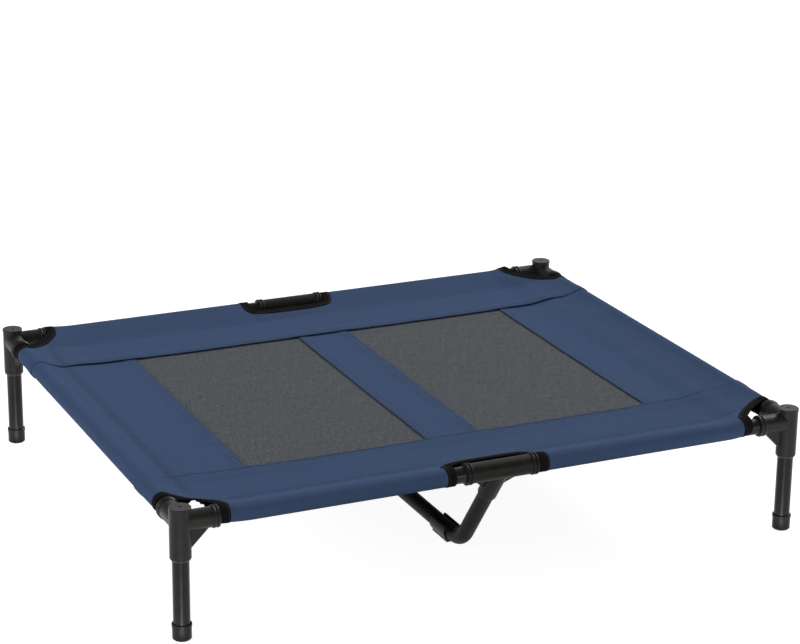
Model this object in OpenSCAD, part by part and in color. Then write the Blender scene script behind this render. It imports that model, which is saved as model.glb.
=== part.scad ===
// Raised pet cot: a push-together tube frame on four capped legs, with a centre
// brace on the floor and a sewn deck whose edge sleeves run round the rails.
// Millimetres, +Z up. The origin is on the floor under the middle of the deck,
// +X runs along the length and -Y is the front.

/* [Frame] */
// Distance between leg centres along the length
post_x = 890; // [780:1:1100]
// Distance between leg centres across the depth
post_y = 738; // [680:1:900]
// Height of the corner tops above the floor
height = 180; // [170:1:230]
// Drop from the corner tops to the rail centre lines
rail_drop = 20; // [18:0.5:26]
// Outside diameter of every frame tube
tube_d = 22; // [20:0.5:25]
// Wall of the frame tubes
tube_wall = 1.2; // [0.8:0.1:2]

/* [Sockets] */
// Radial clearance of a tube in its socket
fit = 0.08; // [0.03:0.01:0.1]
// Gap left beyond a tube at the blind end of its socket
seat_gap = 0.2; // [0.1:0.05:0.5]
// Wall of the moulded rail sockets
socket_wall = 2.4; // [1.8:0.1:3]
// Solid floor between the sockets of one connector
socket_floor = 3; // [2:0.5:5]
// Length of each raised bead at a socket's mouth
bead_w = 4; // [3:0.5:7]
// Height of the beads above the socket
bead_h = 1.5; // [1:0.1:3]
// Groove between the two beads
bead_gap = 1; // [0.5:0.5:3]

/* [Corner connector] */
// Wall of the upright barrel
barrel_wall = 2.9; // [2.5:0.1:4]
// Height of the barrel
barrel_h = 72; // [66:1:90]
// Chamfer round the barrel's lower end
barrel_chamfer = 2.4; // [1:0.1:2.5]
// Overhang of the flat top disc past the barrel
cap_rim = 0.5; // [0.2:0.1:1.5]
// Thickness of the top disc's edge
cap_edge = 3.5; // [2:0.5:5]
// Radius of the moulding dimple in the top disc
dimple_r = 2.5; // [1:0.5:5]
// Depth of that dimple
dimple_depth = 0.6; // [0.2:0.1:1]
// Reach of a rail socket from the leg centre
arm_reach = 50; // [48:1:80]
// Legs of the triangular web under each rail socket
corner_web = 22; // [10:1:24]
// Thickness of that web
corner_web_t = 8; // [4:0.5:12]

/* [Legs] */
// Height of the push-on foot cap
foot_h = 22; // [15:1:35]
// Wall of the foot cap
foot_wall = 1.4; // [1:0.1:3]
// Thickness of the foot cap's sole
foot_floor = 3; // [2:0.5:6]
// Height of the band round the foot cap's mouth
foot_band_h = 5; // [3:0.5:8]
// Overhang of that band
foot_band = 0.6; // [0.2:0.1:1.5]
// Chamfer round the sole
foot_edge = 1.6; // [0.5:0.1:2.5]

/* [Centre brace] */
// Length of the tee's rail sleeve
tee_l = 105; // [104:1:140]
// Rib inside the sleeve that stops the two half rails
tee_rib = 3; // [2:0.5:6]
// Wall of the tee's slanted socket
tee_socket_wall = 2.2; // [1.5:0.1:2.3]
// Reach of the slanted socket from the rail centre line
tee_reach = 62; // [58:1:75]
// Legs of the webs between the sleeve and the slanted socket
tee_web = 25; // [10:1:26]
// Thickness of those webs
tee_web_t = 5; // [3:0.5:8]
// Slope of the brace below the horizontal
brace_angle = 53; // [45:1:60]
// Bend radius of the brace at the tube's centre line
brace_bend_r = 45; // [35:1:60]
// Reduction of the tube's diameter where it is drawn round the bend
bend_draw = 0.06; // [0.04:0.01:0.3]
// Height of the brace's floor run above the floor
brace_lift = 2.6; // [2.5:0.1:6]
// Length of the reduced end that joins the two brace tubes
spigot_l = 35; // [20:1:60]
// Radial clearance of that reduced end
spigot_fit = 0.1; // [0.05:0.05:0.3]
// Length of the clip-on brace foot
pad_l = 46; // [25:1:80]
// Wall of the clip-on foot
pad_wall = 2.3; // [1.5:0.1:2.4]
// Width of the clip-on foot's flat sole
pad_sole = 17; // [10:1:22]
// Width of the clip's open mouth
pad_mouth = 17; // [14:0.5:18]
// Length of the flared lips beside that mouth
pad_lip = 4.5; // [3:0.5:9]
// Outward flare of the lips, in degrees
pad_flare = 32; // [20:1:45]
// Distance from the end of the bend to the clip-on foot
pad_offset = 6; // [2:1:40]

/* [Deck] */
// Drop from the rail centre lines to the top of the mesh
deck_drop = 3.5; // [2:0.5:7]
// Thickness of the woven cloth
cloth_t = 1; // [0.6:0.1:1.4]
// Thickness of the open mesh
mesh_t = 0.8; // [0.5:0.1:1.2]
// Slack of the edge sleeves round the rails
sleeve_slack = 0.3; // [0.2:0.1:0.8]
// Distance from a rail's centre line to its sleeve seam
sleeve_seam = 44; // [36:1:54]
// Width of the strip between the two mesh panels
strip_w = 78; // [50:1:120]
// Distance from a short rail to the nearest mesh panel
border_w = 144; // [110:1:190]
// Distance from a long rail to the edge of its cloth band
band_w = 139; // [116:1:180]
// Overlap of one cloth on the next where they are sewn together
lap = 12; // [6:1:20]

/* [Notches] */
// Bare rail between a corner connector and the nearest sleeve
corner_gap = 1; // [0.5:0.5:10]
// Bare rail between a tee and the nearest sleeve
tee_gap = 1.5; // [0.5:0.5:10]
// Depth of the notch round a tee, from the rail's centre line
tee_depth = 26; // [20:1:30]
// Slip of the sewn deck to the left along its long rails
deck_slip = 7; // [0:0.5:8]
// Width of the tape that binds the notch edges
binding_w = 12; // [8:1:16]
// Thickness of each of the binding's two layers
binding_t = 0.7; // [0.4:0.1:0.9]

/* [Hidden] */
$fn = 64;
connector_black = "#2d2c2a";
tube_black = "#343331";
foot_black = "#2a2a29";
cloth_navy = "#3d4b66";
mesh_grey = "#525356";
binding_black = "#1d1e20";
// Straight runs in each rounded bead, sleeve loop and notch
bead_steps = 8;
loop_steps = 28;
notch_steps = 20;
// Fullness of a notch's edge: 1 is straight from rail to rail, 2 is round, more is squarer
corner_power = 1.25;
tee_power = 4;
// Length by which a cut runs past the solid that it opens
over = 1;

half_x = post_x / 2;
half_y = post_y / 2;
rail_z = height - rail_drop;
bore_d = tube_d + 2 * fit;
socket_r = bore_d / 2 + socket_wall;
barrel_r = bore_d / 2 + barrel_wall;
barrel_z = height - barrel_h;
cap_r = barrel_r + cap_rim;
leg_stop = rail_z - bore_d / 2 - socket_floor;
foot_r = bore_d / 2 + foot_wall;

tee_socket_r = bore_d / 2 + tee_socket_wall;
tee_stop = bore_d / 2 + socket_floor;
brace_z = tube_d / 2 + brace_lift;
brace_slant = (rail_z - brace_z) / sin(brace_angle);
bend_run = brace_bend_r * tan(brace_angle / 2);
bend_end_y = -half_y + brace_slant * cos(brace_angle) + bend_run;
// Length over which a straight run still encloses the drawn bend
bend_root = sqrt(brace_bend_r * bend_draw) / 2;
spigot_d = tube_d - 2 * tube_wall - 2 * spigot_fit;

// Layers of the deck: mesh lowest, strip and borders on it, bands on top
mesh_z = rail_z - deck_drop - mesh_t;
panel_z = mesh_z + mesh_t;
band_z = panel_z + cloth_t;
seam_x = half_x - border_w;
seam_y = half_y - band_w;
sleeve_r = tube_d / 2 + sleeve_slack + cloth_t;
// Half of the bound sleeve's width across a rail, which the notches have to clear
bound_r = sleeve_r + binding_t;
corner_notch = arm_reach + deck_slip + corner_gap;
tee_notch = (tee_l / 2 + deck_slip + tee_gap)
    / pow(1 - pow(bound_r / tee_depth, tee_power), 1 / tee_power);

// Half-elliptic section of one bead on a socket of radius r
function bead_section(r) = concat(
    [[r - over, bead_w], [r - over, 0]],
    [for (i = [0:bead_steps]) let (a = 180 * i / bead_steps)
        [r + bead_h * sin(a), bead_w * (1 - cos(a)) / 2]]);

// Closed loop of cloth: round a circle of radius r and straight to a seam point
function loop_outline(r, seam) =
    let (aim = atan2(seam.y, seam.x), wrap = acos(r / norm(seam)))
    concat([seam], [for (i = [0:loop_steps])
        let (a = aim + wrap + (360 - 2 * wrap) * i / loop_steps)
        r * [cos(a), sin(a)]]);

// A tube along +Z
module pipe(length) {
    difference() {
        cylinder(d = tube_d, h = length);
        translate([0, 0, -over]) cylinder(d = tube_d - 2 * tube_wall, h = length + 2 * over);
    }
}

// Outside of a rail socket along +Z, with two beads at its mouth
module socket(length) {
    cylinder(r = socket_r, h = length);
    for (inset = [bead_w, 2 * bead_w + bead_gap])
        translate([0, 0, length - inset]) rotate_extrude() polygon(bead_section(socket_r));
}

// Places a piece modelled at the front left corner at one of the four corners
module at_corner(turn) {
    half = turn % 180 == 0 ? [half_x, half_y] : [half_y, half_x];
    rotate(turn) translate([-half.x, -half.y, 0]) children();
}

// Moulded corner: closed barrel for the leg, two rail sockets and their webs
module corner_connector() {
    web_reach = barrel_r + corner_web + socket_r;
    color(connector_black) difference() {
        union() {
            rotate_extrude() polygon([
                [0, barrel_z], [barrel_r - barrel_chamfer, barrel_z],
                [barrel_r, barrel_z + 1.5 * barrel_chamfer],
                [barrel_r, height - cap_edge - cap_rim], [cap_r, height - cap_edge],
                [cap_r, height - cap_rim], [cap_r - cap_rim, height],
                [dimple_r, height], [dimple_r - dimple_depth, height - dimple_depth],
                [0, height - dimple_depth]]);
            for (turn = [0, 90])
                rotate(turn) translate([0, 0, rail_z]) {
                    rotate([0, 90, 0]) socket(arm_reach);
                    rotate([90, 0, 0]) linear_extrude(corner_web_t, center = true)
                        polygon([[0, 0], [web_reach, 0], [0, -web_reach]]);
                }
        }
        translate([0, 0, barrel_z - over]) cylinder(d = bore_d, h = leg_stop - barrel_z + over);
        for (turn = [0, 90])
            rotate(turn) translate([barrel_r, 0, rail_z]) rotate([0, 90, 0])
                cylinder(d = bore_d, h = arm_reach);
    }
}

// Leg tube, from the sole of its cap to the blind end of the barrel
module leg() {
    color(tube_black) translate([0, 0, foot_floor]) pipe(leg_stop - seat_gap - foot_floor);
}

// Push-on foot cap with a band round its mouth
module foot_cap() {
    color(foot_black) difference() {
        rotate_extrude() polygon([
            [0, 0], [foot_r - foot_edge, 0], [foot_r, foot_edge],
            [foot_r, foot_h - foot_band_h], [foot_r + foot_band, foot_h - foot_band_h + foot_band],
            [foot_r + foot_band, foot_h - foot_band], [foot_r, foot_h], [0, foot_h]]);
        translate([0, 0, foot_floor]) cylinder(d = bore_d, h = foot_h);
    }
}

// Half of a long rail, from the left corner to the tee
module half_rail() {
    start = -half_x + barrel_r + seat_gap;
    stop = -tee_rib / 2 - seat_gap;
    color(tube_black) translate([start, -half_y, rail_z]) rotate([0, 90, 0]) pipe(stop - start);
}

// Short rail on the left, from corner to corner
module short_rail() {
    length = post_y - 2 * (barrel_r + seat_gap);
    color(tube_black) translate([-half_x, -length / 2, rail_z]) rotate([-90, 0, 0]) pipe(length);
}

// Turns a piece along +Z to run down the slope of the front brace
module down_brace() {
    translate([0, -half_y, rail_z]) rotate([-90 - brace_angle, 0, 0]) children();
}

// Moulded tee: a sleeve on the front rail and a slanted socket for the brace
module tee() {
    web_reach = tee_socket_r + tee_web + socket_r;
    color(connector_black) difference() {
        union() {
            for (turn = [0, 180])
                translate([0, -half_y, rail_z]) rotate(turn) rotate([0, 90, 0]) socket(tee_l / 2);
            down_brace() {
                rotate_extrude() polygon([
                    [0, 0], [tee_socket_r, 0], [tee_socket_r, tee_reach - 1.5 * tee_socket_wall],
                    [tee_socket_r - 0.7 * tee_socket_wall, tee_reach], [0, tee_reach]]);
                rotate([90, 0, 0]) linear_extrude(tee_web_t, center = true)
                    polygon([[-web_reach, 0], [web_reach, 0], [0, web_reach]]);
            }
        }
        for (turn = [0, 180])
            translate([0, -half_y, rail_z]) rotate(turn) rotate([0, 90, 0])
                translate([0, 0, tee_rib / 2]) cylinder(d = bore_d, h = tee_l);
        down_brace() translate([0, 0, tee_stop]) cylinder(d = bore_d, h = tee_reach);
    }
}

// Solid round bar of diameter d along the front brace, reaching past its ends
module brace_run(d, past) {
    start = tee_stop + seat_gap - past;
    slant = brace_slant - bend_run + bend_root;
    down_brace() translate([0, 0, start]) cylinder(d = d, h = slant - start);
    translate([0, bend_end_y, brace_z + brace_bend_r]) rotate([90, 0, 90])
        rotate(-90 - brace_angle) rotate_extrude(angle = brace_angle)
            translate([brace_bend_r, 0]) circle(d = d - bend_draw);
    translate([0, bend_end_y - bend_root, brace_z]) rotate([-90, 0, 0])
        cylinder(d = d, h = past + bend_root - bend_end_y);
}

// Bent brace tube from the front tee to the middle of the floor
module brace_tube() {
    difference() {
        brace_run(tube_d, 0);
        brace_run(tube_d - 2 * tube_wall, over);
    }
}

// Brace tube whose end is reduced to slide into the other one
module spigot_tube() {
    shoulder = 2 * tube_wall;
    brace_tube();
    translate([0, 0, brace_z]) rotate([-90, 0, 0]) difference() {
        union() {
            translate([0, 0, -shoulder]) cylinder(d = tube_d - tube_wall, h = shoulder);
            cylinder(d = spigot_d, h = spigot_l);
        }
        translate([0, 0, -shoulder - over])
            cylinder(d = spigot_d - 2 * tube_wall, h = shoulder + spigot_l + 2 * over);
    }
}

// Clip-on foot under the brace: a snap ring with a flat sole and flared lips
module brace_foot() {
    inner_r = bore_d / 2;
    outer_r = inner_r + pad_wall;
    lip_z = sqrt(inner_r * inner_r - pad_mouth * pad_mouth / 4);
    color(foot_black) translate([0, bend_end_y + pad_offset + pad_l, brace_z]) rotate([90, 0, 0])
        linear_extrude(pad_l) {
            difference() {
                union() {
                    circle(r = outer_r);
                    translate([-pad_sole / 2, -brace_z]) square([pad_sole, brace_z]);
                    for (side = [-1, 1])
                        translate([side * pad_mouth / 2, lip_z]) rotate(-side * pad_flare)
                            translate([(side - 1) * pad_wall / 2, -pad_wall / 2])
                                square([pad_wall, pad_lip]);
                }
                circle(r = inner_r);
                translate([-pad_mouth / 2, 0]) square([pad_mouth, outer_r + pad_lip]);
            }
        }
}

// A flat layer of cloth over the rectangle from a to b
module layer(a, b, z, t) {
    translate([a.x, a.y, z]) cube([b.x - a.x, b.y - a.y, t]);
}

// Sleeve along +Z round a rail, its seam on the +X side at the height of a layer
module sleeve(length, layer_z, extra = 0) {
    seam = [sleeve_seam, layer_z + cloth_t / 2 - rail_z];
    inner_r = sleeve_r - cloth_t;
    outer_r = sleeve_r + extra;
    linear_extrude(length) difference() {
        polygon(loop_outline(outer_r, seam * outer_r / sleeve_r));
        polygon(loop_outline(inner_r, seam * inner_r / sleeve_r));
    }
}

// Sleeve round the front rail from x = a to x = b
module front_sleeve(a, b, layer_z, extra = 0) {
    translate([a, -half_y, rail_z]) rotate([90, 0, 90]) sleeve(b - a, layer_z, extra);
}

// Sleeve round the left rail from y = a to y = b
module left_sleeve(a, b, layer_z, extra = 0) {
    translate([-half_x, b, rail_z]) rotate([90, 0, 0]) sleeve(b - a, layer_z, extra);
}

// Signed power of a sine or cosine, which flattens or squares up an oval
function eased(v, power) = sign(v) * pow(abs(v), 2 / power);

// Plan of the notch at the front corner on one side, -1 for left, grown by e: straight
// across the long rail, then in a flat curve over to the short rail
module corner_notch_plan(side, e) {
    reach = corner_notch + e;
    flat = max(1, bound_r - (1 + side) * deck_slip);
    far = -2 * sleeve_r - deck_slip;
    edge = concat([[far, far], [reach, far]],
        [for (i = [0:notch_steps]) let (a = 90 * i / notch_steps)
            [flat + (reach - flat) * eased(cos(a), corner_power),
             flat + (reach - flat) * eased(sin(a), corner_power)]],
        [[far, reach]]);
    translate([side * half_x - deck_slip, -half_y]) polygon([for (p = edge) [-side * p.x, p.y]]);
}

// Plan of the squared half-oval notch round the front tee, grown by e
module tee_notch_plan(e) {
    side = tee_notch + e;
    depth = tee_depth + e;
    far = -2 * sleeve_r;
    translate([-deck_slip, -half_y]) polygon(concat([[-side, far], [side, far]],
        [for (i = [0:notch_steps]) let (a = 180 * i / notch_steps)
            [side * eased(cos(a), tee_power), depth * eased(sin(a), tee_power)]]));
}

// Cuts a plan through the whole height of the deck
module through_deck() {
    translate([0, 0, rail_z - 2 * sleeve_r]) linear_extrude(4 * sleeve_r) children();
}

// Open mesh panel on the left, under the seams of all that surrounds it
module mesh_panel() {
    color(mesh_grey) layer([-seam_x - lap, -seam_y - lap], [-strip_w / 2 + lap, seam_y + lap],
        mesh_z, mesh_t);
}

// Cloth strip between the two mesh panels
module strip() {
    color(cloth_navy) layer([-strip_w / 2, -seam_y - lap], [strip_w / 2, seam_y + lap],
        panel_z, cloth_t);
}

// Cloth border on the left with its sleeve round the short rail
module border() {
    inner = -half_x + sleeve_seam;
    color(cloth_navy) {
        layer([inner - 2 * cloth_t, -seam_y], [-seam_x, seam_y], panel_z, cloth_t);
        layer([inner + 2 * cloth_t, -seam_y - lap], [-seam_x, seam_y + lap], panel_z, cloth_t);
        left_sleeve(-seam_y, seam_y, panel_z);
    }
}

// Cloth band along the front before its notches are cut, thickened by extra
module band_blank(extra) {
    end = half_x - sleeve_seam + 2 * cloth_t;
    notch_x = half_x - corner_notch / 4;
    notch_y = half_y - corner_notch / 4;
    layer([-end, -half_y + sleeve_seam - 2 * cloth_t], [end, -seam_y],
        band_z - extra, cloth_t + 2 * extra);
    front_sleeve(-notch_x, notch_x, band_z, extra);
    left_sleeve(-notch_y, -seam_y, band_z, extra);
    mirror([1, 0, 0]) left_sleeve(-notch_y, -seam_y, band_z, extra);
}

// Front band, cut back by the width of the binding at its three notches
module band() {
    color(cloth_navy) difference() {
        band_blank(0);
        through_deck() {
            tee_notch_plan(binding_w);
            for (side = [-1, 1])
                corner_notch_plan(side, binding_w);
        }
    }
}

// Folded tape round the notch at the front tee
module tee_binding() {
    color(binding_black) intersection() {
        band_blank(binding_t);
        through_deck() difference() {
            tee_notch_plan(binding_w);
            tee_notch_plan(0);
        }
    }
}

// Folded tape round the notch at the front corner on one side
module corner_binding(side) {
    color(binding_black) intersection() {
        band_blank(binding_t);
        through_deck() difference() {
            corner_notch_plan(side, binding_w);
            corner_notch_plan(side, 0);
        }
    }
}

at_corner(0) corner_connector();  // corner_front_left
at_corner(90) corner_connector();  // corner_front_right
at_corner(180) corner_connector();  // corner_back_right
at_corner(270) corner_connector();  // corner_back_left
at_corner(0) leg();  // leg_front_left
at_corner(90) leg();  // leg_front_right
at_corner(180) leg();  // leg_back_right
at_corner(270) leg();  // leg_back_left
at_corner(0) foot_cap();  // foot_front_left
at_corner(90) foot_cap();  // foot_front_right
at_corner(180) foot_cap();  // foot_back_right
at_corner(270) foot_cap();  // foot_back_left
half_rail();  // rail_front_left
mirror([1, 0, 0]) half_rail();  // rail_front_right
rotate(180) half_rail();  // rail_back_right
mirror([0, 1, 0]) half_rail();  // rail_back_left
short_rail();  // rail_left
rotate(180) short_rail();  // rail_right
tee();  // tee_front
rotate(180) tee();  // tee_back
color(tube_black) brace_tube();  // brace_front
color(tube_black) rotate(180) spigot_tube();  // brace_back
brace_foot();  // brace_foot_front
rotate(180) brace_foot();  // brace_foot_back
mesh_panel();  // mesh_left
rotate(180) mesh_panel();  // mesh_right
strip();  // centre_strip
border();  // border_left
rotate(180) border();  // border_right
band();  // band_front
mirror([0, 1, 0]) band();  // band_back
tee_binding();  // binding_tee_front
mirror([0, 1, 0]) tee_binding();  // binding_tee_back
corner_binding(-1);  // binding_front_left
corner_binding(1);  // binding_front_right
mirror([0, 1, 0]) corner_binding(1);  // binding_back_right
mirror([0, 1, 0]) corner_binding(-1);  // binding_back_left
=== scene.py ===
import math
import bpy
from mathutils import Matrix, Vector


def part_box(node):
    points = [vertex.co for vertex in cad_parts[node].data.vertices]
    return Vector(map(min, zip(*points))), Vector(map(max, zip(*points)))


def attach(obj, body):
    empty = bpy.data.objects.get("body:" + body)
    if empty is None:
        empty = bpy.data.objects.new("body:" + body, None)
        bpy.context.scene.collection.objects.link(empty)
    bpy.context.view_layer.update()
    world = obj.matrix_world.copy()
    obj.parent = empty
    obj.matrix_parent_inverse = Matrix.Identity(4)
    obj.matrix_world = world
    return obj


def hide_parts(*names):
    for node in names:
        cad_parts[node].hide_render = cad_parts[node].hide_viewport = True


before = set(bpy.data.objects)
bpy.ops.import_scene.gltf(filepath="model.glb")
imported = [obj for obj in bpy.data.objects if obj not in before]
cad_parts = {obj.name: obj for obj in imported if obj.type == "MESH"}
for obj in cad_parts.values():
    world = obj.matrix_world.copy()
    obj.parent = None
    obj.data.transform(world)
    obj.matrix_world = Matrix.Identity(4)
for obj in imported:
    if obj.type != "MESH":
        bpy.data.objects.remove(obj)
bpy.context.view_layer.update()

from types import SimpleNamespace

import bmesh
import bpy
from mathutils import Matrix, Vector, noise


# Frame tubes: legs, rails and the bent floor brace are 22 mm steel tube under a thin black
# powder coat with a faint orange peel, glossier on legs and rails than on the brace. They
# push into the moulded connectors, and only the legs slide out again.
def node(material, kind, inputs=None, **settings):
    """Adds one shader node to a finish, with its inputs set or wired up."""
    made = material.node_tree.nodes.new("ShaderNode" + kind)
    for name, value in settings.items():
        setattr(made, name, value)
    for name, value in (inputs or {}).items():
        if isinstance(value, bpy.types.NodeSocket):
            material.node_tree.links.new(value, made.inputs[name])
        else:
            made.inputs[name].default_value = value
    return made


def finish(name, roughness, specular):
    """A new finish and its shader, with the gloss that is the same all over it."""
    material = bpy.data.materials.new(name)
    material.use_nodes = True
    shader = material.node_tree.nodes["Principled BSDF"]
    shader.inputs["Roughness"].default_value = roughness
    shader.inputs["Specular IOR Level"].default_value = specular
    return material, shader


def shades(material, shader, value, stops):
    """Colours a finish by a value from 0 to 1, between shades given as linear RGB."""
    ramp = node(material, "ValToRGB", {"Fac": value})
    for index, (at, colour) in enumerate(stops):
        stop = ramp.color_ramp.elements[index] if index < 2 else ramp.color_ramp.elements.new(at)
        stop.position = at
        stop.color = (*colour, 1)
    material.node_tree.links.new(ramp.outputs["Color"], shader.inputs["Base Color"])


def relief(material, shader, height, depth, strength):
    """Raises a finish by a height from 0 to 1, over a depth in metres."""
    bump = node(material, "Bump", {"Height": height, "Distance": depth, "Strength": strength})
    material.node_tree.links.new(bump.outputs["Normal"], shader.inputs["Normal"])


def powder_coat(name, roughness, specular):
    """Black powder coat with its orange peel and a little dust, in one gloss."""
    coat, shader = finish(name, roughness, specular)
    where = node(coat, "TexCoord").outputs["Object"]
    peel = node(coat, "TexNoise", {"Vector": where, "Scale": 620.0, "Detail": 2.0})
    dust = node(coat, "TexNoise", {"Vector": where, "Scale": 45.0, "Detail": 4.0})
    shades(coat, shader, dust.outputs["Fac"],
           [(0.3, (0.0095, 0.0091, 0.0083)), (0.7, (0.0145, 0.0139, 0.0128))])
    relief(coat, shader, peel.outputs["Fac"], depth=0.00012, strength=0.5)
    return coat


def dress(material, *names):
    """Gives rigid pieces of the frame their finish."""
    for name in names:
        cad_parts[name].material_slots[0].material = material


corners = ("front_left", "front_right", "back_right", "back_left")
tube_coat = powder_coat("black_powder_coat", roughness=0.3, specular=0.18)
dress(tube_coat, *["leg_" + place for place in corners])
dress(tube_coat, *["rail_" + place for place in corners], "rail_left", "rail_right")
dress(powder_coat("dull_powder_coat", roughness=0.5, specular=0.09), "brace_front", "brace_back")


# Connectors: the four corners and two tees are injection mouldings in black plastic, with
# a fine spark-eroded grain and beaded socket mouths. The rails are pressed in, and the
# tees' skin is duller than the corners'.
def moulding(name, specular):
    """Black moulded plastic with the grain of its mould and faint flow marks."""
    plastic, shader = finish(name, 0.44, specular)
    where = node(plastic, "TexCoord").outputs["Object"]
    grain = node(plastic, "TexNoise", {"Vector": where, "Scale": 1400.0, "Detail": 3.0})
    flow = node(plastic, "TexNoise", {"Vector": where, "Scale": 70.0, "Detail": 3.0})
    shades(plastic, shader, flow.outputs["Fac"],
           [(0.3, (0.0115, 0.0108, 0.0098)), (0.75, (0.0175, 0.0165, 0.015))])
    relief(plastic, shader, grain.outputs["Fac"], depth=0.00015, strength=0.6)
    return plastic


dress(moulding("moulded_black", specular=0.22), *["corner_" + place for place in corners])
dress(moulding("dull_moulded_black", specular=0.1), "tee_front", "tee_back")


# Foot caps and brace clips: softer black moulding, pushed on the legs and snapped round
# the brace. Their dull skin is scuffed in patches of grey.
foot_rubber, shader = finish("foot_rubber", roughness=0.42, specular=0.18)
where = node(foot_rubber, "TexCoord").outputs["Object"]
skin = node(foot_rubber, "TexNoise", {"Vector": where, "Scale": 900.0, "Detail": 3.0})
scuff = node(foot_rubber, "TexNoise", {"Vector": where, "Scale": 160.0, "Detail": 5.0})
shades(foot_rubber, shader, scuff.outputs["Fac"],
       [(0.35, (0.011, 0.0106, 0.0098)), (0.75, (0.0185, 0.018, 0.017))])
relief(foot_rubber, shader, skin.outputs["Fac"], depth=0.0002, strength=0.5)
dress(foot_rubber, *["foot_" + place for place in corners], "brace_foot_front", "brace_foot_back")


# Mesh panels: two panels of coated grey yarn in an open plain weave, stretched flat
# between the rails. Their edges lie under the hems of the cloth that surrounds them.
half_x = -(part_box("rail_left")[0].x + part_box("rail_left")[1].x) / 2
half_y = -(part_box("rail_front_left")[0].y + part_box("rail_front_left")[1].y) / 2
rail_z = (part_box("rail_left")[0].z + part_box("rail_left")[1].z) / 2
tube_r = (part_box("rail_left")[1].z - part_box("rail_left")[0].z) / 2
deck_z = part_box("mesh_left")[1].z
seam_short, seam_long = 0.034, 0.044
deck_sag = 0.0025
deck_wave, broad_waves, fine_waves = 0.0006, 14, 31
crease_rise, crease_reach, creases = 0.0007, 0.05, 11
mesh_t = 0.0008
mesh_yarn = 0.0014
mesh_step = 0.006


def evenly(start, stop, step):
    """Values from start to stop in even steps no longer than step."""
    count = max(1, math.ceil(abs(stop - start) / step - 1e-6))
    return [start + (stop - start) * i / count for i in range(count + 1)]


def smooth_step(value, low, high):
    """Rises softly from 0 at low to 1 at high."""
    t = min(1, max(0, (value - low) / (high - low)))
    return t * t * (3 - 2 * t)


def slack(x, y):
    """Height of the deck off its plane: a shallow sag, soft waves and pulls at the corners."""
    across, along = abs(x) / (half_x - seam_short), abs(y) / (half_y - seam_long)
    inside = max(0, 1 - across * across) * max(0, 1 - along * along)
    wave = noise.noise(Vector((x * broad_waves, y * broad_waves, 0.3)))
    wave += 0.5 * noise.noise(Vector((x * fine_waves, y * fine_waves, 4.1)))
    sag = (deck_wave * wave - deck_sag) * min(1, 3 * inside) * (0.35 + 0.65 * inside)
    pull_x, pull_y = half_x - crease_reach - abs(x), half_y - crease_reach - abs(y)
    far = math.hypot(pull_x, pull_y)
    crease = math.sin(creases * math.atan2(pull_y, pull_x)) * math.exp(-far / crease_reach)
    crease *= smooth_step(far, 0.01, crease_reach)
    return sag + crease_rise * crease * min(1, 8 * inside)


def flat_cut(across, along):
    """A flat cut of cloth: a grid with a column at each value across and a row at each along."""
    cut = bmesh.new()
    columns, rows = len(across) - 1, len(along) - 1
    bmesh.ops.create_grid(cut, x_segments=columns, y_segments=rows, size=1)
    for v in cut.verts:
        v.co.x = across[round((v.co.x + 1) / 2 * columns)]
        v.co.y = along[round((v.co.y + 1) / 2 * rows)]
    flat = cut.loops.layers.uv.new("flat_cut")
    for face in cut.faces:
        face.smooth = True
        for loop in face.loops:
            loop[flat].uv = loop.vert.co.xy
    return cut


def sewn_piece(name, cut, material, thickness, slot, *nodes):
    """Makes a shaped cut a piece of the deck, in the place of its plain solids."""
    mesh = bpy.data.meshes.new(name)
    cut.to_mesh(mesh)
    cut.free()
    mesh.materials.append(material)
    piece = bpy.data.objects.new(name, mesh)
    bpy.context.scene.collection.objects.link(piece)
    if thickness:
        wall = piece.modifiers.new("thickness", "SOLIDIFY")
        wall.thickness = thickness
        wall.offset = 0
    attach(piece, "frame")
    if nodes:
        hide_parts(*nodes)
    return piece


def wave_scale(spacing):
    """Scale of a wave texture whose bands are that far apart."""
    return 2 * math.pi / 20 / spacing


def plain_weave(material, flat, yarn):
    """Height of a plain weave with that yarn spacing: warp and weft by turns on top."""
    warp = node(material, "TexWave", {"Vector": flat, "Scale": wave_scale(yarn)}, bands_direction="X")
    weft = node(material, "TexWave", {"Vector": flat, "Scale": wave_scale(yarn)}, bands_direction="Y")
    turn = node(material, "TexChecker", {"Vector": flat, "Scale": 1 / yarn})
    weave = node(material, "Mix", {"Factor": turn.outputs["Fac"]}, data_type="FLOAT")
    material.node_tree.links.new(warp.outputs["Fac"], weave.inputs["A"])
    material.node_tree.links.new(weft.outputs["Fac"], weave.inputs["B"])
    return weave.outputs["Result"]


mesh_grey, shader = finish("coated_mesh", roughness=0.7, specular=0.02)
flat = node(mesh_grey, "UVMap", uv_map="flat_cut").outputs["UV"]
weave = plain_weave(mesh_grey, flat, mesh_yarn)
yarn = node(mesh_grey, "TexNoise", {"Vector": flat, "Scale": 420.0, "Detail": 6.0})
lay = node(mesh_grey, "Mapping", {"Vector": flat, "Scale": (520.0, 70.0, 1.0)})
fleck = node(mesh_grey, "TexNoise", {"Vector": lay.outputs["Vector"], "Scale": 1.0, "Detail": 2.0})
# The weave's height also sets the grey: the yarns' crowns are painted lighter and the gaps between
# them darker, a painted highlight and shade, varied by random yarn tone and flecks.
woven = node(mesh_grey, "Math", {0: weave, 1: yarn.outputs["Fac"]}, operation="MULTIPLY")
weave_shade_and_tone = node(mesh_grey, "Math", {0: fleck.outputs["Fac"], 1: 0.52, 2: woven.outputs["Value"]},
            operation="MULTIPLY_ADD")
shades(mesh_grey, shader, weave_shade_and_tone.outputs["Value"],
       [(0.3, (0.034, 0.036, 0.039)), (0.55, (0.1, 0.109, 0.121)), (0.85, (0.185, 0.197, 0.212))])
relief(mesh_grey, shader, weave, depth=0.0004, strength=0.5)

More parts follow.
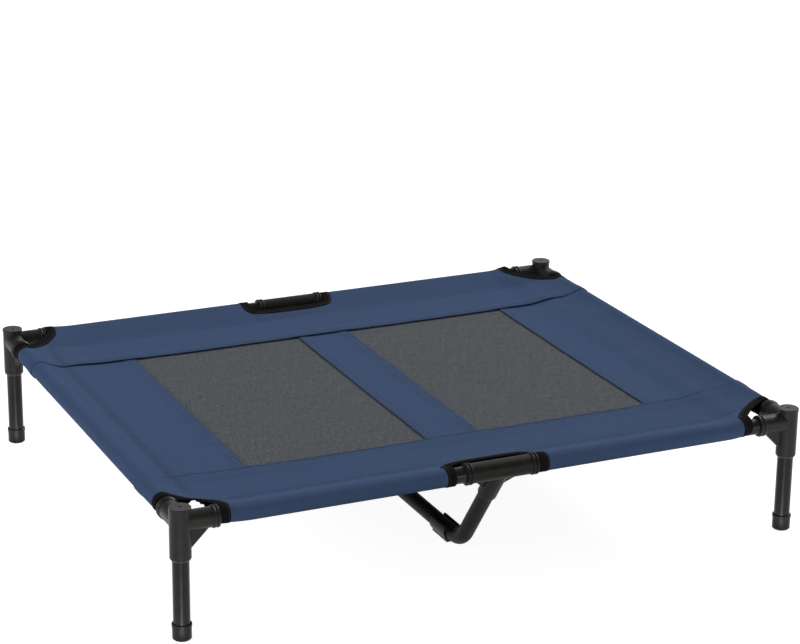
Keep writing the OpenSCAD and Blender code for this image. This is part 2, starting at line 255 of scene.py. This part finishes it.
for side in ("left", "right"):
    low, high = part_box("mesh_" + side)
    panel = flat_cut(evenly(low.x, high.x, mesh_step), evenly(low.y, high.y, mesh_step))
    for v in panel.verts:
        v.co.z = deck_z - mesh_t / 2 + slack(v.co.x, v.co.y)
    piece = sewn_piece("mesh_panel_" + side, panel, mesh_grey, mesh_t, "mesh", "mesh_" + side)


# Side borders and centre strip: navy woven polyester. Each edge along the mesh is turned
# under and sewn down with two rows, and a border's outer edge is a sleeve that runs round
# the short rail and back to its seam.
seam_x = -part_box("border_left")[1].x
seam_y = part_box("band_back")[0].y
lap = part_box("centre_strip")[1].y - seam_y
strip_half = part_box("centre_strip")[1].x
end_x, end_y = half_x - seam_short, half_y - seam_long
cloth_t = 0.0007
cloth_yarn = 0.0008
cloth_step, open_step, lap_step = 0.007, 0.008, 0.003
fold_r = 0.00045
hem = 0.012
past_hem = hem + 0.006
raw_step, fold_step, row_step = 0.003, 0.0004, 0.0007
hem_curl, curl_w = 0.0004, 0.0095
hem_rows = (0.0028, 0.0098)
row_dip, row_w = 0.0002, 0.0009
cloth_lift = 0.0006
seam_lift = 0.00045
ease = 0.006
allowance = 0.010
ring_r = tube_r + cloth_t


def sleeve_round(seam):
    """Lengths and angles of a sleeve whose seam is that far in from the axis of its rail."""
    tip = Vector((seam, deck_z - rail_z))
    aim, wrap = math.atan2(tip.y, tip.x), math.acos(ring_r / tip.length)
    leg = math.sqrt(tip.length ** 2 - ring_r ** 2)
    under = leg + ring_r * 2 * (math.pi - wrap)
    return SimpleNamespace(
        seam=seam, tip=tip, aim=aim, wrap=wrap, leg=leg, under=under, length=under + leg,
        top_in=ring_r * math.cos(aim + wrap), under_in=ring_r * math.cos(aim - wrap),
        climb=ring_r * math.sin(aim + wrap) - tip.y)


# The notches are cut a tape's width outside the bindings' inner edges, and the deck has
# slipped to the left on its long rails.
short, long = sleeve_round(seam_short), sleeve_round(seam_long)
binding_w = 0.012
left_in, right_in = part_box("binding_front_left")[1].x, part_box("binding_front_right")[0].x
slip = -(left_in + right_in) / 2
corner_cut = half_x - binding_w - (right_in - left_in) / 2
corner_power = 1.25
straight_left = tube_r + 0.002
straight_right = max(0, straight_left - 2 * slip)
tee_low, tee_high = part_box("binding_tee_front")
tee_half = (tee_high.x - tee_low.x) / 2 - binding_w
tee_depth = half_y + tee_high.y - binding_w
tee_power = 4
left_tight, right_tight = 0.0025, 0.006
tight_rise, tight_fall = (0.006, 0.04), (0.045, 0.095)
corner_reach, corner_dip = 0.06, 0.001
front_left_dip, dip_at, dip_spread = 0.003, 1.1, 0.3
tee_reach, tee_share = 0.05, 0.6


def heading(angle):
    """Direction of unit length at an angle."""
    return Vector((math.cos(angle), math.sin(angle)))


def sleeve_path(s, loop):
    """Where a sleeve is at a length s past its seam, and its outward direction, as seen
    along the rail: inwards from the rail's axis and up."""
    tip, top, low = loop.tip, heading(loop.aim + loop.wrap), heading(loop.aim - loop.wrap)
    if abs(s) < ease:
        start = Vector((tip.x + ease, tip.y))
        stop = tip + (ring_r * top - tip) * ease / loop.leg
        t = (s + ease) / 2 / ease
        along = (1 - t) * (tip - start) + t * (stop - tip)
        spot = (1 - t) ** 2 * start + 2 * t * (1 - t) * tip + t * t * stop
        return spot, Vector((along.y, -along.x)).normalized()
    if s <= 0:
        return Vector((tip.x - s, tip.y)), Vector((0, 1))
    if s < loop.leg:
        return tip.lerp(ring_r * top, s / loop.leg), top
    if s < loop.under:
        out = heading(loop.aim + loop.wrap + (s - loop.leg) / ring_r)
        return ring_r * out, out
    if s < loop.length:
        return (ring_r * low).lerp(tip, (s - loop.under) / loop.leg), low
    return Vector((tip.x + s - loop.length, tip.y)), Vector((0, -1))


def notch_reach(x, y):
    """Size of the corner notch whose edge would pass through a place on the deck."""
    straight = straight_left if x < 0 else straight_right
    out = sorted((half_x - abs(x) - math.copysign(slip, x), half_y - abs(y)))
    if out[0] <= straight:
        return out[1]
    power = sum((o - straight) ** corner_power for o in out)
    return straight + power ** (1 / corner_power)


def fade(value, start, length):
    """Falls from one to nothing over a length, steeply at first."""
    return max(0, min(1, 1 - (value - start) / length)) ** 2


def pulled_up(x, y):
    """Height that the taut notch edges and the tight side sleeves add to the deck."""
    side, end, climb = half_x - abs(x), half_y - abs(y), long.climb
    tight = left_tight if x < 0 else right_tight
    tight *= smooth_step(side, *tight_rise) * (1 - smooth_step(side, *tight_fall))
    height = tight + sum(climb * max(0, loop.seam - inwards) / (loop.seam - loop.top_in)
                         for inwards, loop in ((side, short), (end, long)))
    dip = corner_dip
    if x < 0 and y < 0:
        around = math.atan2(max(0, end), max(0.001, side + slip))
        dip += front_left_dip * math.exp(-((around - dip_at) / dip_spread) ** 2)
    at_corner = fade(notch_reach(x, y), corner_cut, corner_reach)
    along = abs(x + slip)
    notch_in = tee_depth * (1 - min(1, along / tee_half) ** tee_power) ** (1 / tee_power)
    at_tee = fade(end - notch_in, 0, tee_reach)
    at_tee *= 1 - smooth_step(along, tee_half - 0.005, tee_half + 0.035)
    at_corner *= max(0, climb - dip - height)
    at_tee *= max(0, tee_share * climb - height)
    return tight + at_corner + at_tee


def on_deck(a, b, lift):
    """Place on the stretched deck of a point of its flat pattern, lifted off the mesh."""
    side, out_side = sleeve_path(abs(a) - end_x, short)
    end, out_end = sleeve_path(abs(b) - end_y, long)
    to_side, to_end = math.copysign(1, a), math.copysign(1, b)
    place = Vector((to_side * (half_x - side.x), to_end * (half_y - end.x),
                    side.y + end.y + 2 * rail_z - deck_z))
    place.z += slack(place.x, place.y) + pulled_up(place.x, place.y)
    out = Vector((-to_side * out_side.x, -to_end * out_end.x, out_side.y + out_end.y - 1))
    return place + lift * out.normalized()


def turned_under(past):
    """Inset and drop of a hem at a length past its fold line."""
    if past < math.pi * fold_r:
        return -fold_r * math.sin(past / fold_r), fold_r * (1 - math.cos(past / fold_r))
    return past - math.pi * fold_r, 2 * fold_r


def panel_lift(inset, b):
    """Height of a strip's or border's upper side at a distance in from its folded edge."""
    inset = max(0, inset)
    double = 1 - smooth_step(inset, hem - 0.002, past_hem)
    curl = hem_curl * max(0, 1 - inset / curl_w) ** 2 * smooth_step(seam_y - abs(b), 0.004, 0.022)
    dip = sum(row_dip * math.exp(-((inset - row) / row_w) ** 2) for row in hem_rows)
    return cloth_lift + (2 * fold_r - 0.0001) * double + curl - dip * double


def in_turn(*runs):
    """Joins runs of values end to end, without the ends that they share."""
    joined = list(runs[0])
    for run in runs[1:]:
        joined += run[1:]
    return joined


def hemmed(edge, inwards):
    """Values across a cut, from the raw edge of its hem round the fold and past both rows."""
    fold = edge - inwards * math.pi * fold_r
    raw = edge - inwards * (math.pi * fold_r + hem)
    return in_turn(evenly(raw, fold, raw_step), evenly(fold, edge, fold_step),
                   evenly(edge, edge + inwards * past_hem, row_step))


def sleeved(seam, loop):
    """Values across a cut, from just before its seam, round the rail and under the deck."""
    ends = [seam - ease, seam + ease, seam + loop.leg, seam + loop.under,
            seam + loop.length, seam + loop.length + allowance]
    steps = (0.0012, 0.005, 0.0015, 0.005, 0.005)
    return in_turn(*[evenly(a, b, step) for a, b, step in zip(ends, ends[1:], steps)])


navy_cloth, shader = finish("navy_cloth", roughness=0.7, specular=0.01)
flat = node(navy_cloth, "UVMap", uv_map="flat_cut").outputs["UV"]
weave = plain_weave(navy_cloth, flat, cloth_yarn)
slub = node(navy_cloth, "Mapping", {"Vector": flat, "Scale": (60.0, 1400.0, 1.0)})
streak = node(navy_cloth, "TexNoise", {"Vector": slub.outputs["Vector"], "Scale": 1.0, "Detail": 2.0})
cloud = node(navy_cloth, "TexNoise", {"Vector": flat, "Scale": 16.0, "Detail": 4.0})
# The weave's height also sets the navy: its crowns are painted lighter and the hollows between yarns
# darker, a painted highlight and shade, over slub streaks and a cloudy tone that the cloth has of its
# own.
weave_shade_and_slub = node(navy_cloth, "Math", {0: weave, 1: 0.35, 2: streak.outputs["Fac"]},
             operation="MULTIPLY_ADD")
weave_shade_and_tone = node(navy_cloth, "Math", {0: cloud.outputs["Fac"], 1: 0.5, 2: weave_shade_and_slub.outputs["Value"]},
            operation="MULTIPLY_ADD")
depth = node(navy_cloth, "Math", {0: weave_shade_and_tone.outputs["Value"], 1: 0.6}, operation="MULTIPLY")
shades(navy_cloth, shader, depth.outputs["Value"],
       [(0.2, (0.045, 0.072, 0.142)), (0.8, (0.061, 0.097, 0.188))])
relief(navy_cloth, shader, weave, depth=0.0002, strength=0.45)

cloth_pieces = {}
border_run = in_turn(hemmed(seam_x, 1), evenly(seam_x + past_hem, end_x - ease, cloth_step),
                     sleeved(end_x, short))
near_band = seam_y - 0.022
along = in_turn(evenly(-seam_y - lap, -near_band, lap_step), evenly(-near_band, near_band, open_step),
                evenly(near_band, seam_y + lap, lap_step))


def border_lift(a, b):
    """Height of a border's upper side, which settles on the mesh's plane at the sleeve seam."""
    lift = panel_lift(abs(a) - seam_x, b)
    return lift + (seam_lift - lift) * smooth_step(abs(a), end_x - 0.04, end_x)


for side, turn in (("left", -1), ("right", 1)):
    border = flat_cut(border_run, along)
    for v in border.verts:
        a, b = v.co.x, v.co.y
        inset, drop = turned_under(seam_x - a) if a < seam_x else (a - seam_x, 0)
        v.co = on_deck(turn * (seam_x + inset), b, border_lift(seam_x + inset, b) - drop)
    piece = sewn_piece("border_cloth_" + side, border, navy_cloth, cloth_t, "cloth", "border_" + side)
    cloth_pieces[side] = (piece, (border_run[-1] - border_run[0], along[-1] - along[0]))

strip_run = in_turn(hemmed(-strip_half, 1),
                    evenly(-strip_half + past_hem, strip_half - past_hem, cloth_step),
                    hemmed(strip_half, -1)[::-1])
strip = flat_cut(strip_run, along)
for v in strip.verts:
    a, b = v.co.x, v.co.y
    past = abs(a) - strip_half
    inset, drop = turned_under(past) if past > 0 else (-past, 0)
    v.co = on_deck(math.copysign(strip_half - inset, a), b, panel_lift(inset, b) - drop)
piece = sewn_piece("strip_cloth", strip, navy_cloth, cloth_t, "cloth", "centre_strip")
cloth_pieces["strip"] = (piece, (strip_run[-1] - strip_run[0], along[-1] - along[0]))


# Long bands: the same navy cloth along the front and back. The hemmed inner edge is sewn
# over the mesh, strip and borders, the outer edge is the sleeve of the long rail, and the
# ends are short sleeves on the short rails. Corners and tee are cut out.
bound = 0.006
over_mesh, over_cloth, at_sleeve = 0.0013, 0.001, 0.0014
band_rest, less_at_seam, less_at_end = 0.0012, 0.0007, 0.0004
band_curl, band_curl_w = 0.0006, 0.0026
row_pucker, uneven = 0.0006, 0.00025
band_step = 0.0045


def band_lift(a, b):
    """Height of a long band's upper side over the flat pattern of the deck."""
    far, inset = abs(a), max(0, abs(b) - seam_y)
    on_cloth = max(1 - smooth_step(far, strip_half + 0.002, strip_half + 0.018),
                   smooth_step(far, seam_x - 0.018, seam_x - 0.002))
    folded = over_mesh + over_cloth * on_cloth + 2 * fold_r
    folded -= at_sleeve * smooth_step(far, end_x - 0.035, end_x)
    settled = band_rest - less_at_seam * smooth_step(abs(b), end_y - 0.05, end_y)
    settled -= less_at_end * smooth_step(far, end_x - 0.03, end_x)
    pucker = row_pucker + uneven * noise.noise(Vector((a * 90, b * 20, 7.7)))
    dip = pucker * math.exp(-((inset - hem_rows[0]) / 0.0014) ** 2)
    dip += row_dip * math.exp(-((inset - hem_rows[1]) / 0.001) ** 2)
    curl = band_curl * max(0, 1 - inset / band_curl_w) ** 2
    curl *= 1 - smooth_step(far, end_x, end_x + 0.02)
    return folded + curl - dip + (settled - folded) * smooth_step(inset, hem, 0.032)


def cut_away(a, b):
    """Whether a point of a band's flat pattern lies in a notch, up to halfway under its tape."""
    past_side, past_end = abs(a) - end_x, b - end_y
    if past_side > -0.002 and past_end > long.leg or past_end > -0.002 and past_side > short.leg:
        return True
    x, y, z = on_deck(a, b, 0)
    if notch_reach(x, y) < corner_cut + bound:
        return True
    along, inwards = abs(x + slip) / (tee_half + bound), max(0, half_y - y) / (tee_depth + bound)
    return along ** tee_power + inwards ** tee_power < 1


near_tee = tee_half + slip + 0.025
near_corner = half_x - corner_cut - slip - 0.025
deck_run = in_turn(evenly(0, near_tee, band_step), evenly(near_tee, near_corner, open_step),
                   evenly(near_corner, end_x - ease, band_step), sleeved(end_x, short))
across = [-a for a in reversed(deck_run)] + deck_run[1:]
band_run = in_turn(hemmed(seam_y, 1), evenly(seam_y + past_hem, end_y - ease, band_step),
                   sleeved(end_y, long))
for side, turn in (("front", -1), ("back", 1)):
    band = flat_cut(across, band_run)
    notches = [face for face in band.faces if cut_away(*face.calc_center_median().xy)]
    bmesh.ops.delete(band, geom=notches, context="FACES")
    band_area = sum(face.calc_area() for face in band.faces)
    for v in band.verts:
        a, b = v.co.x, v.co.y
        inset, drop = turned_under(seam_y - b) if b < seam_y else (b - seam_y, 0)
        v.co = on_deck(a, turn * (seam_y + inset), band_lift(a, seam_y + inset) - drop)
    piece = sewn_piece("band_cloth_" + side, band, navy_cloth, cloth_t, "cloth", "band_" + side)
    cloth_pieces[side] = (piece, (across[-1] - across[0], band_run[-1] - band_run[0]))


# Bindings: black woven tape folded over the cut edges of the corner and tee notches and
# sewn through, so that it runs down the notch and round the end of each sleeve.
tape_t = 0.0006
tape_half = 0.0008
tape_rib = 0.0011
tape_step, section_step = 0.003, 0.002
tape_bend, tape_mesh = 0.0015, 0.0021
tape_end = 0.004
corner_turn, tee_turn = 0.06, 0.05
under_clear = long.seam + 0.002

tape_black, shader = finish("black_tape", roughness=0.85, specular=0.01)
flat = node(tape_black, "UVMap", uv_map="flat_cut").outputs["UV"]
rib = node(tape_black, "TexWave", {"Vector": flat, "Scale": wave_scale(tape_rib)}, bands_direction="X")
lint = node(tape_black, "TexNoise", {"Vector": flat, "Scale": 500.0, "Detail": 3.0})
shades(tape_black, shader, lint.outputs["Fac"],
       [(0.3, (0.0075, 0.0075, 0.0072)), (0.75, (0.0145, 0.0144, 0.014))])
relief(tape_black, shader, rib.outputs["Fac"], depth=0.00025, strength=0.5)


def sleeve_at(inwards, loop):
    """Length past its seam at which a sleeve's upper side is that far in from the rail."""
    past = loop.seam - inwards
    return past if past < 0 else loop.leg * past / (loop.seam - loop.top_in)


def corner_out(inwards, size, straight):
    """Distance from a corner notch's middle to its edge, at a distance in from one rail."""
    if inwards <= straight:
        return size
    left = (size - straight) ** corner_power - (inwards - straight) ** corner_power
    return straight + max(0, left) ** (1 / corner_power)


def corner_edge(shift, straight):
    """Flat pattern of the cut edge at a corner, whose notch is centred that far past the post:
    round the long rail, over the deck in a flat curve, and round the short rail."""
    edge = []
    for s in evenly(long.length - tape_end, long.leg, tape_step):
        out = corner_out(sleeve_path(s, long)[0].x, corner_cut, straight) - shift
        if s > long.under:
            out = max(out, under_clear)
        edge.append(Vector((half_x - out, end_y + s)))
    over = [(corner_cut, v) for v in evenly(0, straight, tape_step)]
    for angle in evenly(0, math.pi / 2, corner_turn):
        over.append([straight + (corner_cut - straight) * max(0, o) ** (2 / corner_power)
                     for o in heading(angle)])
    over += [(u, corner_cut) for u in evenly(straight, -abs(shift), tape_step)]
    edge += [Vector((end_x + sleeve_at(u - shift, short), end_y + sleeve_at(v, long)))
             for u, v in over if u - shift > short.top_in and v > long.top_in]
    for s in evenly(short.leg, short.length - tape_end, tape_step):
        out = corner_out(sleeve_path(s, short)[0].x + shift, corner_cut, straight)
        if s > short.under:
            out = max(out, under_clear)
        edge.append(Vector((end_x + s, half_y - out)))
    spread = [edge[0]]
    for spot in edge[1:]:
        if (spot - spread[-1]).length > 0.3 * tape_step:
            spread.append(spot)
    return spread


def tee_edge():
    """Flat pattern of the cut edge at a tee: a squared half oval under the deck, up round the
    rail, a half oval over the deck and down again, where the tape's ends overlap."""
    stretch = long.leg / (long.seam - long.under_in)

    def squared(angle):
        return [max(0, o) ** (2 / tee_power) for o in heading(angle)]

    def angle_at(inwards):
        return math.asin((inwards / tee_depth) ** (tee_power / 2))

    quarter = []
    for angle in evenly(math.pi / 2, angle_at(long.under_in), tee_turn)[:-1]:
        along, inwards = squared(angle)
        s = long.under + stretch * (tee_depth * inwards - long.under_in)
        quarter.append(Vector((-tee_half * along, end_y + s)))
    for s in evenly(long.under, long.leg, tape_step):
        inwards = max(0, sleeve_path(s, long)[0].x) / tee_depth
        quarter.append(Vector((-tee_half * (1 - inwards ** tee_power) ** (1 / tee_power), end_y + s)))
    for angle in evenly(angle_at(long.top_in), math.pi / 2, tee_turn)[1:]:
        along, inwards = squared(angle)
        quarter.append(Vector((-tee_half * along, end_y + sleeve_at(tee_depth * inwards, long))))
    half = quarter + [Vector((-p.x, p.y)) for p in reversed(quarter[:-1])]
    return [Vector((p.x - slip, p.y)) for p in half]


def with_inwards(edge):
    """Each point of a cut edge with the direction into the cloth there."""
    ways = []
    for i, spot in enumerate(edge):
        way = (edge[min(i + 1, len(edge) - 1)] - edge[max(i - 1, 0)]).normalized()
        ways.append((spot, Vector((way.y, -way.x))))
    return ways


def bound_edge(path, turn_x, turn_y):
    """Tape folded over a cut edge, from its upper edge over the cut to its lower edge."""
    section = [(w, tape_half) for w in evenly(binding_w, tape_bend, tape_mesh)]
    for i in range(7):
        out = tape_half * heading(math.pi * i / 6)
        section.append((-out.y, out.x))
    section += [(w, -tape_half) for w in evenly(tape_bend, binding_w, tape_mesh)]
    tape = flat_cut(evenly(0, tape_step * (len(path) - 1), tape_step),
                    evenly(0, section_step * (len(section) - 1), section_step))
    for v in tape.verts:
        spot, inwards = path[round(v.co.x / tape_step)]
        inset, lift = section[round(v.co.y / section_step)]
        flat = spot + inwards * inset
        lift += band_lift(flat.x, flat.y)
        v.co = on_deck(turn_x * flat.x, turn_y * flat.y, lift)
    return tape


left_edge = with_inwards(corner_edge(slip, straight_left))
right_edge = with_inwards(corner_edge(-slip, straight_right))
tee_cut = with_inwards(tee_edge())
bindings = {"front_left": (left_edge, -1, -1), "front_right": (right_edge, 1, -1),
            "back_right": (right_edge, 1, 1), "back_left": (left_edge, -1, 1),
            "tee_front": (tee_cut, 1, -1), "tee_back": (tee_cut, 1, 1)}
for place, path in bindings.items():
    tape = bound_edge(*path)
    sewn_piece("binding_tape_" + place, tape, tape_black, tape_t, "binding", "binding_" + place)


# Stitching: bonded navy thread. Two rows hold each hem and two rows close each sleeve,
# and a row of black thread holds the tape on the cut edges.
stitch_pitch, stitch_ends = 0.0036, (0.2, 0.8)
stitch_size = Vector((0.0028, 0.0008, 0.0006))
short_rows, long_rows = (0.003, 0.0085), (0.003, 0.009)
tape_row = 0.0095
row_clear, row_start = 0.002, 0.004


def thread_finish(name, roughness, dark, light):
    """Bonded thread, with twisted ridges in its relief; its shade follows the same pattern, lighter on
    the ridges, a painted highlight.
    """
    thread, shader = finish(name, roughness, specular=0.3)
    where = node(thread, "TexCoord").outputs["Object"]
    twist_and_highlight = node(thread, "TexNoise", {"Vector": where, "Scale": 1800.0, "Detail": 2.0})
    shades(thread, shader, twist_and_highlight.outputs["Fac"], [(0.3, dark), (0.75, light)])
    relief(thread, shader, twist_and_highlight.outputs["Fac"], depth=0.0002, strength=0.5)
    return thread


thread_navy = thread_finish("navy_thread", 0.55, (0.003, 0.006, 0.014), (0.006, 0.012, 0.027))
thread_black = thread_finish("black_thread", 0.5, (0.008, 0.008, 0.0078), (0.018, 0.0178, 0.0175))


def ring_order(face):
    """Sorts a stitch's faces, which come in another order each run, by ring and angle."""
    middle = face.calc_center_median()
    return 100 * middle.z + math.atan2(middle.y, middle.x)


one_stitch = bpy.data.meshes.new("one_stitch")
grain = bmesh.new()
bmesh.ops.create_uvsphere(grain, u_segments=6, v_segments=4, radius=0.5)
grain.faces.sort(key=ring_order)
for face in grain.faces:
    face.smooth = True
grain.to_mesh(one_stitch)
grain.free()


def sew(rows, lift_at):
    """Stitches along rows of the flat pattern, lying on the cloth there."""
    thread = bmesh.new()
    for row in rows:
        row = [Vector(point) for point in row]
        for start, stop in zip(row, row[1:]):
            count = max(1, round((stop - start).length / stitch_pitch))
            step = (stop - start) / count
            for i in range(count):
                ends = [start + step * (i + k) for k in stitch_ends]
                ends = [on_deck(p.x, p.y, lift_at(p.x, p.y)) for p in ends]
                lay = (ends[1] - ends[0]).to_track_quat("X", "Z")
                stitch = one_stitch.copy()
                stitch.transform(Matrix.LocRotScale((ends[0] + ends[1]) / 2, lay, stitch_size))
                thread.from_mesh(stitch)
                bpy.data.meshes.remove(stitch)
    return thread


def on_border(a, b):
    return border_lift(a, b) + cloth_t / 2


def on_strip(a, b):
    return panel_lift(strip_half - abs(a), b) + cloth_t / 2


def on_band(a, b):
    return band_lift(a, b) + cloth_t / 2


def on_tape(a, b):
    return band_lift(a, b) + tape_half + tape_t / 2


def clear_of_corner(inwards, side):
    """How far a row that far in from a rail has to stop from the middle of a corner's notch."""
    straight = straight_left if side < 0 else straight_right
    return corner_out(inwards, corner_cut + binding_w + row_clear, straight)


stitches = {}
for side, turn in (("left", -1), ("right", 1)):
    columns = [turn * (seam_x + row) for row in hem_rows]
    columns += [turn * (end_x - row) for row in short_rows]
    rows = [((x, -seam_y), (x, seam_y)) for x in columns]
    thread = sew(rows, on_border)
    stitches[side] = sewn_piece("stitching_border_" + side, thread, thread_navy, 0, "cloth")
columns = [turn * (strip_half - row) for row in hem_rows for turn in (-1, 1)]
rows = [((x, -seam_y), (x, seam_y)) for x in columns]
thread = sew(rows, on_strip)
stitches["strip"] = sewn_piece("stitching_strip", thread, thread_navy, 0, "cloth")
for side, turn in (("front", -1), ("back", 1)):
    rows = [((-end_x, turn * (seam_y + row)), (end_x, turn * (seam_y + row))) for row in hem_rows]
    for row in long_rows:
        y = turn * (end_y - row)
        left, right = [half_x - clear_of_corner(long.seam + row, x) for x in (-1, 1)]
        rows.append(((-left - slip, y), (right - slip, y)))
    for row in short_rows:
        for x in (-1, 1):
            at = x * (end_x - row)
            stop = half_y - clear_of_corner(short.seam + row - x * slip, x)
            rows.append(((at, turn * (seam_y + row_start)), (at, turn * stop)))
    thread = sew(rows, on_band)
    stitches[side] = sewn_piece("stitching_band_" + side, thread, thread_navy, 0, "cloth")
for place, (path, x, y) in bindings.items():
    row = [spot + inwards * tape_row for spot, inwards in path]
    row = [(x * p.x, y * p.y) for p in row]
    thread = sew([row], on_tape)
    stitches[place] = sewn_piece("stitching_tape_" + place, thread, thread_black, 0, "binding")
bpy.data.meshes.remove(one_stitch)

# Each cut of the deck is looked up with its flat size, and each band with the tapes and stitching that
# it carries.
for side in ("left", "right"):
    low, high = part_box("mesh_" + side)
    piece, size = cloth_pieces[side]
piece, size = cloth_pieces["strip"]
for side in ("front", "back"):
    piece, size = cloth_pieces[side]
    places = [place for place in bindings if side in place]
    tapes = [bpy.data.objects["binding_tape_" + place] for place in places]
    tapes += [stitches[place] for place in places]


# Studio: a plain pale floor, a large soft light behind on the right, a weak panel for the
# top discs to mirror, weak lights on the left and low in front, strips on the floor that
# draw the legs' highlights, and the camera.
floor_half, floor_grey, floor_glow = 9, 0.35, 0.92
sky_light = 0.28
floor_mesh = bpy.data.meshes.new("floor")
plane = bmesh.new()
bmesh.ops.create_grid(plane, x_segments=1, y_segments=1, size=floor_half)
plane.to_mesh(floor_mesh)
plane.free()
floor = bpy.data.objects.new("floor", floor_mesh)
bpy.context.scene.collection.objects.link(floor)

pale_floor, shader = finish("pale_floor", roughness=0.9, specular=0.1)
shader.inputs["Base Color"].default_value = (floor_grey, floor_grey, floor_grey, 1)
shader.inputs["Emission Color"].default_value = (1, 1, 1, 1)
rays = node(pale_floor, "LightPath").outputs
seen = node(pale_floor, "Math", {0: rays["Is Camera Ray"], 1: rays["Is Glossy Ray"]}, operation="ADD")
seen = node(pale_floor, "Math", {0: seen.outputs["Value"], 1: rays["Is Transmission Ray"]},
            operation="ADD")
glow = node(pale_floor, "Math", {0: seen.outputs["Value"], 1: floor_glow}, operation="MULTIPLY")
pale_floor.node_tree.links.new(glow.outputs["Value"], shader.inputs["Emission Strength"])
floor_mesh.materials.append(pale_floor)

world = bpy.data.worlds.new("studio")
world.use_nodes = True
bpy.context.scene.world = world
sky = world.node_tree.nodes["Background"]
sky.inputs["Color"].default_value = (1, 1, 1, 1)
sky.inputs["Strength"].default_value = sky_light

cot_middle = Vector((0, 0, 0.15))


def soft_light(name, place, size, power):
    """A soft rectangular light that points at the middle of the cot."""
    lamp = bpy.data.lights.new(name, "AREA")
    lamp.shape = "RECTANGLE"
    lamp.size, lamp.size_y = size
    lamp.energy = power
    light = bpy.data.objects.new(name, lamp)
    bpy.context.scene.collection.objects.link(light)
    light.location = place
    light.rotation_euler = (cot_middle - Vector(place)).to_track_quat("-Z", "Y").to_euler()
    return light


soft_light("back_softbox", (7.5, 4.0, 5.5), size=(2.6, 2.6), power=775)
soft_light("back_panel", (2.4, 5.4, 2.6), size=(3.6, 2.2), power=36)
soft_light("left_softbox", (-3.2, 0.3, 1.3), size=(1.6, 1.0), power=50)
soft_light("right_fill", (1.3, -2.9, 0.35), size=(1.6, 0.4), power=15)
soft_light("left_fill", (-1.6, -3.2, 0.35), size=(1.2, 0.4), power=16)

camera_at = Vector((-1.3924, -3.07467, 1.39603))
yaw, pitch, roll = math.radians(-24.7167), math.radians(18.7858), math.radians(0.6381)
back = Vector((math.sin(yaw) * math.cos(pitch), -math.cos(yaw) * math.cos(pitch), math.sin(pitch)))
right = Vector((math.cos(yaw), math.sin(yaw), 0))
up = back.cross(right)
right, up = right * math.cos(roll) + up * math.sin(roll), up * math.cos(roll) - right * math.sin(roll)
view = Matrix((right, up, back)).transposed().to_4x4()
view.translation = camera_at
lens = bpy.data.cameras.new("camera")
lens.lens = 112.267
lens.sensor_width = 36
camera = bpy.data.objects.new("camera", lens)
camera.matrix_world = view
bpy.context.scene.collection.objects.link(camera)
bpy.context.scene.camera = camera

strip_size, strip_out, strip_z = (0.024, 0.42), 0.24, 0.002
for place in ("front_left", "front_right", "back_left"):
    low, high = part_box("foot_" + place)
    sole = (low + high).xy / 2
    towards = (camera_at.xy - sole).normalized()
    at = (*(sole + strip_out * towards), strip_z)
    strip = soft_light("floor_strip_" + place, at, strip_size, power=0.24)
    strip.rotation_euler = (math.pi, 0, math.atan2(towards.y, towards.x) + math.pi / 2)
    strip.visible_camera = False
bpy.context.scene.view_settings.view_transform = "Standard"
